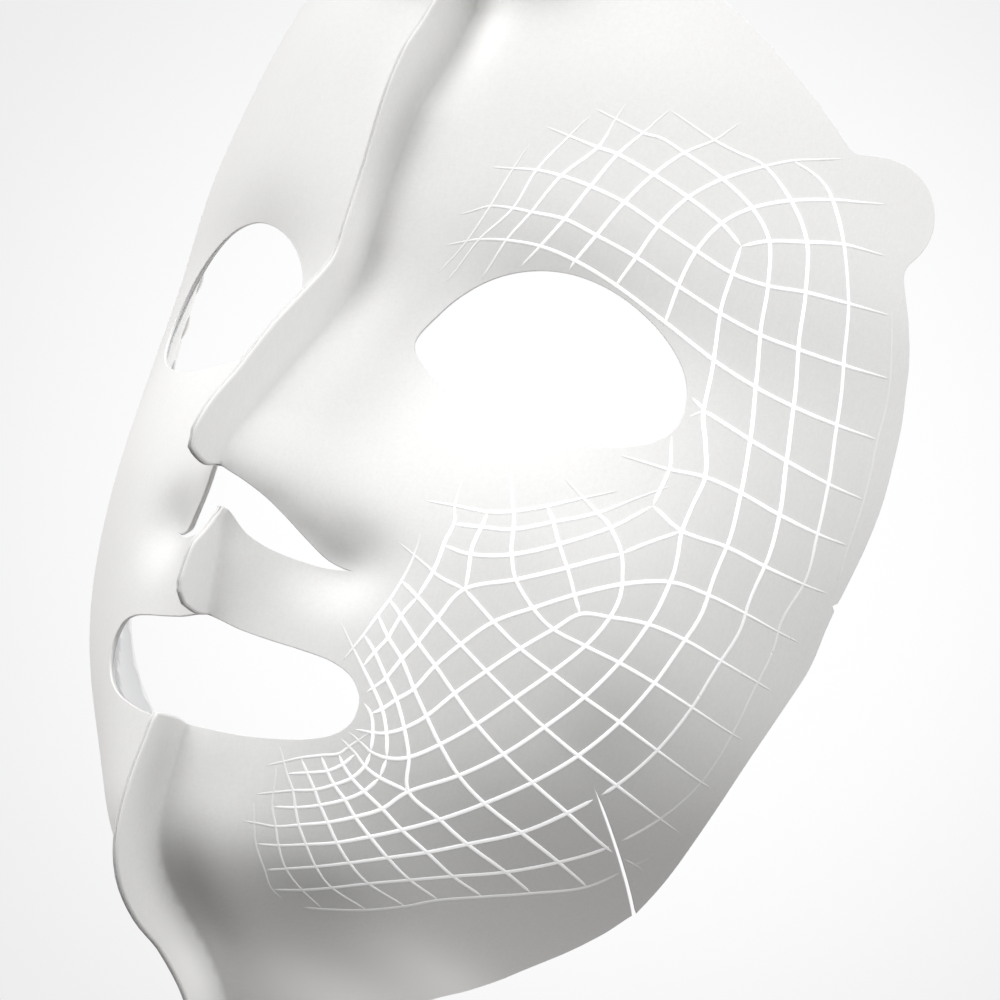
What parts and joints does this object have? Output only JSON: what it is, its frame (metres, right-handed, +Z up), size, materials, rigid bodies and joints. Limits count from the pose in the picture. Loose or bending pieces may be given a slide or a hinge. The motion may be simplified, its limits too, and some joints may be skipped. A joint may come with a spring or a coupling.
{
  "type": "led face mask",
  "caption": "Soft full-face light therapy mask of two panels joined by a fin on the centre line, with eye, nose and mouth openings.",
  "frame": {"origin": "middle of the whole mask's bounding box, on the centre plane", "axes": "+Z up to the forehead, the face looks along -Y, +X is the wearer's left"},
  "size_m": [0.1662, 0.0802, 0.2042],
  "materials": {
    "soft_cover": "matt fine-grained off-white sheet",
    "silicone": "satin milky silicone",
    "flap_silicone": "satin silicone",
    "seam_film": "bonding film",
    "led_tape": "white flexible circuit with light packages",
    "bus_tape": "amber polyimide flexible circuit",
    "pod_shell": "satin white",
    "button": "satin light grey",
    "board": "green circuit board",
    "cell": "foil pouch",
    "socket_metal": "plated steel",
    "lens": "clear light pipe"
  },
  "bodies": {
    "mask": {"battery": "cell", "bus_tape_left": "bus_tape", "bus_tape_right": "bus_tape", "button_switch": "socket_metal", "charge_socket": "socket_metal", "cover_left": "soft_cover", "cover_right": "soft_cover", "driver_board": "board", "edge_seal_left": "silicone", "edge_seal_right": "silicone", "eye_seal_left": "silicone", "eye_seal_right": "silicone", "led_tape_brow_left": "led_tape", "led_tape_brow_right": "led_tape", "led_tape_cheek_left": "led_tape", "led_tape_cheek_right": "led_tape", "led_tape_chin_left": "led_tape", "led_tape_chin_right": "led_tape", "led_tape_forehead_left": "led_tape", "led_tape_forehead_right": "led_tape", "led_tape_jaw_left": "led_tape", "led_tape_jaw_right": "led_tape", "led_tape_temple_left": "led_tape", "led_tape_temple_right": "led_tape", "led_tape_under_eye_left": "led_tape", "led_tape_under_eye_right": "led_tape", "liner_left": "silicone", "liner_right": "silicone", "pod_base": "pod_shell", "pod_cover": "pod_shell", "ribbon_cable": "bus_tape", "seam_film_chin": "seam_film", "seam_film_lip": "seam_film", "seam_film_upper": "seam_film", "status_lens": "lens"},
    "jaw_flap_left": {"jaw_flap_left": "soft_cover", "jaw_flap_pad_left": "silicone"},
    "jaw_flap_right": {"jaw_flap_right": "soft_cover", "jaw_flap_pad_right": "silicone"},
    "ear_tab_left": {"ear_tab_left": "soft_cover", "ear_tab_pad_left": "silicone"},
    "ear_tab_right": {"ear_tab_right": "soft_cover", "ear_tab_pad_right": "silicone"},
    "power_button": {"power_button": "button"},
    "port_flap": {"port_flap": "flap_silicone"}
  },
  "joints": [
    {"name": "jaw_flap_left_fold", "type": "hinge", "parent": "mask", "child": "jaw_flap_left", "pos_m": [0.0689, 0.02292, -0.02934], "axis": [0.5006, 0.5066, 0.702], "range_deg": [-8, 20]},
    {"name": "jaw_flap_right_fold", "type": "hinge", "parent": "mask", "child": "jaw_flap_right", "pos_m": [-0.0689, 0.02292, -0.02934], "axis": [0.5006, -0.5066, -0.702], "range_deg": [-8, 20]},
    {"name": "ear_tab_left_fold", "type": "hinge", "parent": "mask", "child": "ear_tab_left", "pos_m": [0.07266, 0.02871, 0.05977], "axis": [-0.486, -0.3576, 0.7974], "range_deg": [-45, 60]},
    {"name": "ear_tab_right_fold", "type": "hinge", "parent": "mask", "child": "ear_tab_right", "pos_m": [-0.07266, 0.02871, 0.05977], "axis": [-0.486, 0.3576, -0.7974], "range_deg": [-45, 60]},
    {"name": "power_button_press", "type": "slide", "parent": "mask", "child": "power_button", "axis": [0, 0.953, -0.3031], "range_m": [0, 0.0005]},
    {"name": "port_flap_hinge", "type": "hinge", "parent": "mask", "child": "port_flap", "pos_m": [-0.02075, -0.00205, 0.09406], "axis": [0, -0.3031, -0.953], "range_deg": [0, 110]}
  ]
}
